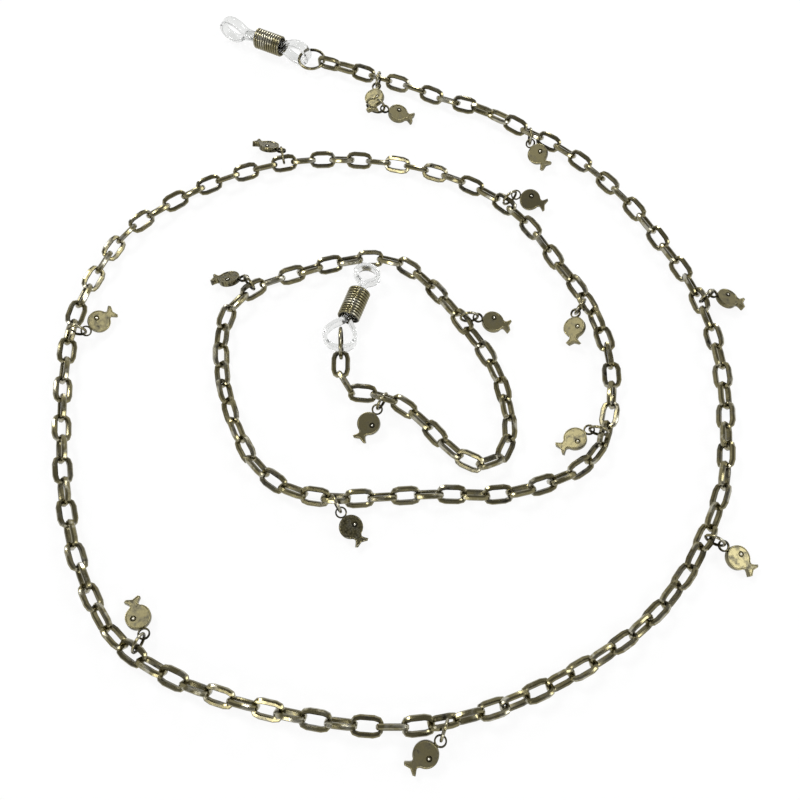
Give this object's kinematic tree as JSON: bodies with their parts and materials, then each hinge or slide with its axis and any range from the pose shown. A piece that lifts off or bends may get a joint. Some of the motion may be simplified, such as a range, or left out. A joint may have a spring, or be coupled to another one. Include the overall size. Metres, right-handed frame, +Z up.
{
  "type": "eyeglasses chain strap",
  "caption": "Eyeglasses chain strap: cable chain with small round fish charms on jump rings, and a ring, clear silicone temple loop and sliding coil spring at each end.",
  "frame": {"origin": "centre of the laid-out strap's bounding box, on the ground", "axes": "+Z up from the ground, +Y towards the end of the spiral where both free ends of the outer loop lie, +X to the right seen from above with +Y away"},
  "size_m": [0.126, 0.1502, 0.006],
  "materials": {
    "chain_metal": "antique olive brass, worn",
    "charm_metal": "antique brass, satin",
    "ring_metal": "antique brass, polished edges",
    "spring_metal": "antique brass wire",
    "clear_silicone": "clear, soft gloss"
  },
  "bodies": {
    "chain_run_01": {"chain_run_01": "chain_metal"},
    "chain_run_02": {"chain_run_02": "chain_metal"},
    "chain_run_03": {"chain_run_03": "chain_metal"},
    "chain_run_04": {"chain_run_04": "chain_metal"},
    "chain_run_05": {"chain_run_05": "chain_metal"},
    "chain_run_06": {"chain_run_06": "chain_metal"},
    "chain_run_07": {"chain_run_07": "chain_metal"},
    "chain_run_08": {"chain_run_08": "chain_metal"},
    "chain_run_09": {"chain_run_09": "chain_metal"},
    "chain_run_10": {"chain_run_10": "chain_metal"},
    "chain_run_11": {"chain_run_11": "chain_metal"},
    "chain_run_12": {"chain_run_12": "chain_metal"},
    "chain_run_13": {"chain_run_13": "chain_metal"},
    "chain_run_14": {"chain_run_14": "chain_metal"},
    "chain_run_15": {"chain_run_15": "chain_metal"},
    "chain_run_16": {"chain_run_16": "chain_metal"},
    "chain_run_17": {"chain_run_17": "chain_metal"},
    "chain_run_18": {"chain_run_18": "chain_metal"},
    "chain_run_19": {"chain_run_19": "chain_metal"},
    "chain_run_20": {"chain_run_20": "chain_metal"},
    "chain_run_21": {"chain_run_21": "chain_metal"},
    "chain_run_22": {"chain_run_22": "chain_metal"},
    "jump_ring_01": {"jump_ring_01": "ring_metal"},
    "fish_01": {"fish_01": "charm_metal"},
    "jump_ring_02": {"jump_ring_02": "ring_metal"},
    "fish_02": {"fish_02": "charm_metal"},
    "jump_ring_03": {"jump_ring_03": "ring_metal"},
    "fish_03": {"fish_03": "charm_metal"},
    "jump_ring_04": {"jump_ring_04": "ring_metal"},
    "fish_04": {"fish_04": "charm_metal"},
    "jump_ring_05": {"jump_ring_05": "ring_metal"},
    "fish_05": {"fish_05": "charm_metal"},
    "jump_ring_06": {"jump_ring_06": "ring_metal"},
    "fish_06": {"fish_06": "charm_metal"},
    "jump_ring_07": {"jump_ring_07": "ring_metal"},
    "fish_07": {"fish_07": "charm_metal"},
    "jump_ring_08": {"jump_ring_08": "ring_metal"},
    "fish_08": {"fish_08": "charm_metal"},
    "jump_ring_09": {"jump_ring_09": "ring_metal"},
    "fish_09": {"fish_09": "charm_metal"},
    "jump_ring_10": {"jump_ring_10": "ring_metal"},
    "fish_10": {"fish_10": "charm_metal"},
    "jump_ring_11": {"jump_ring_11": "ring_metal"},
    "fish_11": {"fish_11": "charm_metal"},
    "jump_ring_12": {"jump_ring_12": "ring_metal"},
    "fish_12": {"fish_12": "charm_metal"},
    "jump_ring_13": {"jump_ring_13": "ring_metal"},
    "fish_13": {"fish_13": "charm_metal"},
    "jump_ring_14": {"jump_ring_14": "ring_metal"},
    "fish_14": {"fish_14": "charm_metal"},
    "jump_ring_15": {"jump_ring_15": "ring_metal"},
    "fish_15": {"fish_15": "charm_metal"},
    "jump_ring_16": {"jump_ring_16": "ring_metal"},
    "fish_16": {"fish_16": "charm_metal"},
    "end_ring_outer": {"end_ring_outer": "ring_metal"},
    "temple_loop_outer": {"temple_loop_outer": "clear_silicone"},
    "coil_spring_outer": {"coil_spring_outer": "spring_metal"},
    "end_ring_inner": {"end_ring_inner": "ring_metal"},
    "temple_loop_inner": {"temple_loop_inner": "clear_silicone"},
    "coil_spring_inner": {"coil_spring_inner": "spring_metal"}
  },
  "joints": [
    {"name": "lift_01", "type": "hinge", "parent": "chain_run_02", "child": "chain_run_01", "pos_m": [0.01041, 0.05318, 0.00169], "axis": [-0.3392, -0.9407, 0], "range_deg": [-35, 35]},
    {"name": "lift_02", "type": "hinge", "parent": "chain_run_03", "child": "chain_run_02", "pos_m": [0.03875, 0.03401, 0.00153], "axis": [0.7535, 0.6575, 0], "range_deg": [-35, 35]},
    {"name": "bend_03", "type": "hinge", "parent": "chain_run_04", "child": "chain_run_03", "pos_m": [0.05378, 0.0074, 0.00153], "axis": [0, 0, 1], "range_deg": [-35, 5]},
    {"name": "lift_04", "type": "hinge", "parent": "chain_run_05", "child": "chain_run_04", "pos_m": [0.05476, -0.023, 0.00153], "axis": [0.9878, -0.1559, 0], "range_deg": [-35, 35]},
    {"name": "bend_05", "type": "hinge", "parent": "chain_run_06", "child": "chain_run_05", "pos_m": [0.03798, -0.05248, 0.00159], "axis": [0, 0, 1], "range_deg": [-35, 5]},
    {"name": "lift_06", "type": "hinge", "parent": "chain_run_07", "child": "chain_run_06", "pos_m": [0.0145, -0.06521, 0.00169], "axis": [0.3234, -0.9463, 0], "range_deg": [-35, 35]},
    {"name": "lift_07", "type": "hinge", "parent": "chain_run_07", "child": "chain_run_08", "pos_m": [-0.01961, -0.06625, 0.00169], "axis": [0.2048, 0.9788, 0], "range_deg": [-35, 35]},
    {"name": "lift_08", "type": "hinge", "parent": "chain_run_08", "child": "chain_run_09", "pos_m": [-0.05147, -0.0474, 0.00162], "axis": [-0.8766, -0.4812, 0], "range_deg": [-35, 35]},
    {"name": "lift_09", "type": "hinge", "parent": "chain_run_09", "child": "chain_run_10", "pos_m": [-0.06077, -0.01428, 0.0016], "axis": [0.9923, 0.1235, 0], "range_deg": [-35, 35]},
    {"name": "lift_10", "type": "hinge", "parent": "chain_run_10", "child": "chain_run_11", "pos_m": [-0.05681, 0.01567, 0.00158], "axis": [-0.9112, 0.4119, 0], "range_deg": [-35, 35]},
    {"name": "lift_11", "type": "hinge", "parent": "chain_run_11", "child": "chain_run_12", "pos_m": [-0.04072, 0.03142, 0.00155], "axis": [0.4934, -0.8698, 0], "range_deg": [-35, 35]},
    {"name": "lift_12", "type": "hinge", "parent": "chain_run_12", "child": "chain_run_13", "pos_m": [-0.01126, 0.03844, 0.0015], "axis": [0.0621, 0.9981, 0], "range_deg": [-35, 35]},
    {"name": "lift_13", "type": "hinge", "parent": "chain_run_13", "child": "chain_run_14", "pos_m": [0.02039, 0.02638, 0.0015], "axis": [-0.722, -0.6919, 0], "range_deg": [-35, 35]},
    {"name": "lift_14", "type": "hinge", "parent": "chain_run_14", "child": "chain_run_15", "pos_m": [0.0361, -0.00407, 0.00169], "axis": [0.9888, 0.1491, 0], "range_deg": [-35, 32]},
    {"name": "lift_15", "type": "hinge", "parent": "chain_run_15", "child": "chain_run_16", "pos_m": [0.02437, -0.02959, 0.00162], "axis": [-0.3525, 0.9358, 0], "range_deg": [-35, 35]},
    {"name": "lift_16", "type": "hinge", "parent": "chain_run_16", "child": "chain_run_17", "pos_m": [-0.0138, -0.03243, 0.00156], "axis": [-0.1001, -0.995, 0], "range_deg": [-35, 35]},
    {"name": "lift_17", "type": "hinge", "parent": "chain_run_17", "child": "chain_run_18", "pos_m": [-0.0327, -0.01122, 0.00154], "axis": [0.9731, 0.2304, 0], "range_deg": [-35, 35]},
    {"name": "lift_18", "type": "hinge", "parent": "chain_run_18", "child": "chain_run_19", "pos_m": [-0.02, 0.01188, 0.00152], "axis": [-0.3308, 0.9437, 0], "range_deg": [-35, 35]},
    {"name": "lift_19", "type": "hinge", "parent": "chain_run_19", "child": "chain_run_20", "pos_m": [0.00439, 0.00897, 0.00154], "axis": [-0.7586, -0.6516, 0], "range_deg": [-35, 35]},
    {"name": "lift_20", "type": "hinge", "parent": "chain_run_20", "child": "chain_run_21", "pos_m": [0.0172, -0.01427, 0.00156], "axis": [0.9841, 0.1777, 0], "range_deg": [-35, 35]},
    {"name": "bend_21", "type": "hinge", "parent": "chain_run_21", "child": "chain_run_22", "pos_m": [0.00356, -0.01948, 0.00154], "axis": [0, 0, 1], "range_deg": [-2, 20]},
    {"name": "ring_swing_01", "type": "hinge", "parent": "chain_run_01", "child": "jump_ring_01", "pos_m": [-0.00578, 0.05921, 0.00254], "axis": [-0.9369, 0.3496, 0], "range_deg": [-5, 90]},
    {"name": "fish_swing_01", "type": "hinge", "parent": "jump_ring_01", "child": "fish_01", "pos_m": [-0.00624, 0.05727, 0.00221], "axis": [-0.0207, -0.0863, 0.9961], "range_deg": [-30, 20]},
    {"name": "ring_swing_02", "type": "hinge", "parent": "chain_run_02", "child": "jump_ring_02", "pos_m": [0.02513, 0.04435, 0.00229], "axis": [-0.848, 0.5301, 0], "range_deg": [-5, 90]},
    {"name": "fish_swing_02", "type": "hinge", "parent": "jump_ring_02", "child": "fish_02", "pos_m": [0.02506, 0.04236, 0.00194], "axis": [-0.0035, -0.0985, 0.9951], "range_deg": [-30, 20]},
    {"name": "ring_swing_03", "type": "hinge", "parent": "chain_run_04", "child": "jump_ring_03", "pos_m": [0.05506, 0.00593, 0.00257], "axis": [0.2587, -0.966, 0], "range_deg": [-5, 90]},
    {"name": "fish_swing_03", "type": "hinge", "parent": "jump_ring_03", "child": "fish_03", "pos_m": [0.05665, 0.00705, 0.00194], "axis": [0.2302, 0.1611, 0.9597], "range_deg": [-30, 30]},
    {"name": "ring_swing_04", "type": "hinge", "parent": "chain_run_05", "child": "jump_ring_04", "pos_m": [0.0497, -0.03963, 0.00237], "axis": [-0.5004, -0.8657, -0.0148], "range_deg": [-5, 90]},
    {"name": "fish_swing_04", "type": "hinge", "parent": "jump_ring_04", "child": "fish_04", "pos_m": [0.05141, -0.04061, 0.00186], "axis": [0.1753, -0.1013, 0.9793], "range_deg": [-30, 30]},
    {"name": "ring_swing_05", "type": "hinge", "parent": "chain_run_07", "child": "jump_ring_05", "pos_m": [0.00542, -0.06838, 0.00276], "axis": [-0.9839, -0.1787, 0], "range_deg": [-5, 90]},
    {"name": "fish_swing_05", "type": "hinge", "parent": "jump_ring_05", "child": "fish_05", "pos_m": [0.00477, -0.07021, 0.00215], "axis": [-0.0895, -0.2499, 0.9641], "range_deg": [-10, 30]},
    {"name": "ring_swing_06", "type": "hinge", "parent": "chain_run_08", "child": "jump_ring_06", "pos_m": [-0.04225, -0.0565, 0.00207], "axis": [0.8297, -0.5582, 0], "range_deg": [-5, 90]},
    {"name": "fish_swing_06", "type": "hinge", "parent": "jump_ring_06", "child": "fish_06", "pos_m": [-0.04145, -0.0547, 0.00156], "axis": [0.0833, 0.1877, 0.9787], "range_deg": [-30, 30]},
    {"name": "ring_swing_07", "type": "hinge", "parent": "chain_run_10", "child": "jump_ring_07", "pos_m": [-0.06049, -0.00092, 0.00248], "axis": [-0.0422, -0.9989, 0.018], "range_deg": [-5, 90]},
    {"name": "fish_swing_07", "type": "hinge", "parent": "jump_ring_07", "child": "fish_07", "pos_m": [-0.05852, -0.001, 0.00198], "axis": [0.1923, -0.0081, 0.9813], "range_deg": [-30, 30]},
    {"name": "ring_swing_08", "type": "hinge", "parent": "chain_run_12", "child": "jump_ring_08", "pos_m": [-0.02481, 0.03851, 0.00249], "axis": [0.9771, 0.2127, 0], "range_deg": [-5, 90]},
    {"name": "fish_swing_08", "type": "hinge", "parent": "jump_ring_08", "child": "fish_08", "pos_m": [-0.02522, 0.04043, 0.00196], "axis": [-0.0453, 0.2082, 0.977], "range_deg": [-30, 30]},
    {"name": "ring_swing_09", "type": "hinge", "parent": "chain_run_13", "child": "jump_ring_09", "pos_m": [0.01981, 0.02834, 0.00235], "axis": [0.7305, -0.6828, 0.0127], "range_deg": [-5, 90]},
    {"name": "fish_swing_09", "type": "hinge", "parent": "jump_ring_09", "child": "fish_09", "pos_m": [0.0214, 0.02953, 0.00194], "axis": [0.1055, 0.0793, 0.9912], "range_deg": [-18, 30]},
    {"name": "ring_swing_10", "type": "hinge", "parent": "chain_run_14", "child": "jump_ring_10", "pos_m": [0.03223, 0.00456, 0.00203], "axis": [-0.3782, 0.9257, 0], "range_deg": [-5, 90]},
    {"name": "fish_swing_10", "type": "hinge", "parent": "jump_ring_10", "child": "fish_10", "pos_m": [0.03101, 0.00299, 0.00175], "axis": [-0.0507, -0.0654, 0.9966], "range_deg": [-30, 15]},
    {"name": "ring_swing_11", "type": "hinge", "parent": "chain_run_15", "child": "jump_ring_11", "pos_m": [0.0333, -0.02081, 0.00267], "axis": [0.3564, 0.934, 0.0242], "range_deg": [-5, 90]},
    {"name": "fish_swing_11", "type": "hinge", "parent": "jump_ring_11", "child": "fish_11", "pos_m": [0.03143, -0.02028, 0.00203], "axis": [-0.2749, 0.0782, 0.9583], "range_deg": [-30, 18]},
    {"name": "ring_swing_12", "type": "hinge", "parent": "chain_run_16", "child": "jump_ring_12", "pos_m": [-0.01212, -0.03334, 0.00267], "axis": [-0.9983, 0.0547, -0.0206], "range_deg": [-5, 90]},
    {"name": "fish_swing_12", "type": "hinge", "parent": "jump_ring_12", "child": "fish_12", "pos_m": [-0.01115, -0.03504, 0.0021], "axis": [0.1189, -0.2071, 0.9711], "range_deg": [-30, 30]},
    {"name": "ring_swing_13", "type": "hinge", "parent": "chain_run_18", "child": "jump_ring_13", "pos_m": [-0.02917, 0.00877, 0.00261], "axis": [0.8094, 0.5872, 0], "range_deg": [-5, 90]},
    {"name": "fish_swing_13", "type": "hinge", "parent": "jump_ring_13", "child": "fish_13", "pos_m": [-0.03045, 0.01024, 0.00204], "axis": [-0.1535, 0.1768, 0.9722], "range_deg": [-30, 30]},
    {"name": "ring_swing_14", "type": "hinge", "parent": "chain_run_20", "child": "jump_ring_14", "pos_m": [0.01089, 0.00184, 0.00239], "axis": [0.5507, -0.8343, -0.0279], "range_deg": [-5, 90]},
    {"name": "fish_swing_14", "type": "hinge", "parent": "jump_ring_14", "child": "fish_14", "pos_m": [0.01286, 0.00192, 0.00187], "axis": [0.2075, 0.0088, 0.9782], "range_deg": [-12, 30]},
    {"name": "ring_swing_15", "type": "hinge", "parent": "chain_run_22", "child": "jump_ring_15", "pos_m": [-0.00423, -0.01485, 0.00288], "axis": [-0.9548, 0.284, 0.0883], "range_deg": [-5, 90]},
    {"name": "fish_swing_15", "type": "hinge", "parent": "jump_ring_15", "child": "fish_15", "pos_m": [-0.00524, -0.01651, 0.00227], "axis": [-0.1384, -0.2253, 0.9644], "range_deg": [-30, 30]},
    {"name": "ring_swing_16", "type": "hinge", "parent": "fish_01", "child": "jump_ring_16", "pos_m": [-0.00692, 0.05208, 0.00174], "axis": [-0.129, -0.9877, -0.0882], "range_deg": [-5, 90]},
    {"name": "fish_swing_16", "type": "hinge", "parent": "jump_ring_16", "child": "fish_16", "pos_m": [-0.0046, 0.05144, 0.00185], "axis": [0.1916, -0.0529, 0.98], "range_deg": [-30, 30]},
    {"name": "end_ring_swing_outer", "type": "hinge", "parent": "chain_run_01", "child": "end_ring_outer", "pos_m": [-0.01808, 0.06462, 0.00165], "axis": [0.3005, 0.9538, 0], "range_deg": [-5, 60]},
    {"name": "temple_loop_swing_outer", "type": "hinge", "parent": "end_ring_outer", "child": "temple_loop_outer", "pos_m": [-0.0228, 0.06611, 0.0026], "axis": [0.4239, 0.9057, 0], "range_deg": [-5, 60]},
    {"name": "coil_slide_outer", "type": "slide", "parent": "temple_loop_outer", "child": "coil_spring_outer", "axis": [-0.9057, 0.4239, 0], "range_m": [0, 0.0023]},
    {"name": "end_ring_swing_inner", "type": "hinge", "parent": "chain_run_22", "child": "end_ring_inner", "pos_m": [-0.01189, -0.00623, 0.00265], "axis": [0, 0, 1], "range_deg": [-30, 3]},
    {"name": "temple_loop_swing_inner", "type": "hinge", "parent": "end_ring_inner", "child": "temple_loop_inner", "pos_m": [-0.01196, -0.00146, 0.0021], "axis": [0, 0, 1], "range_deg": [-35, 4]},
    {"name": "coil_slide_inner", "type": "slide", "parent": "temple_loop_inner", "child": "coil_spring_inner", "axis": [0.338, 0.9411, 0], "range_m": [0, 0.0014]}
  ]
}
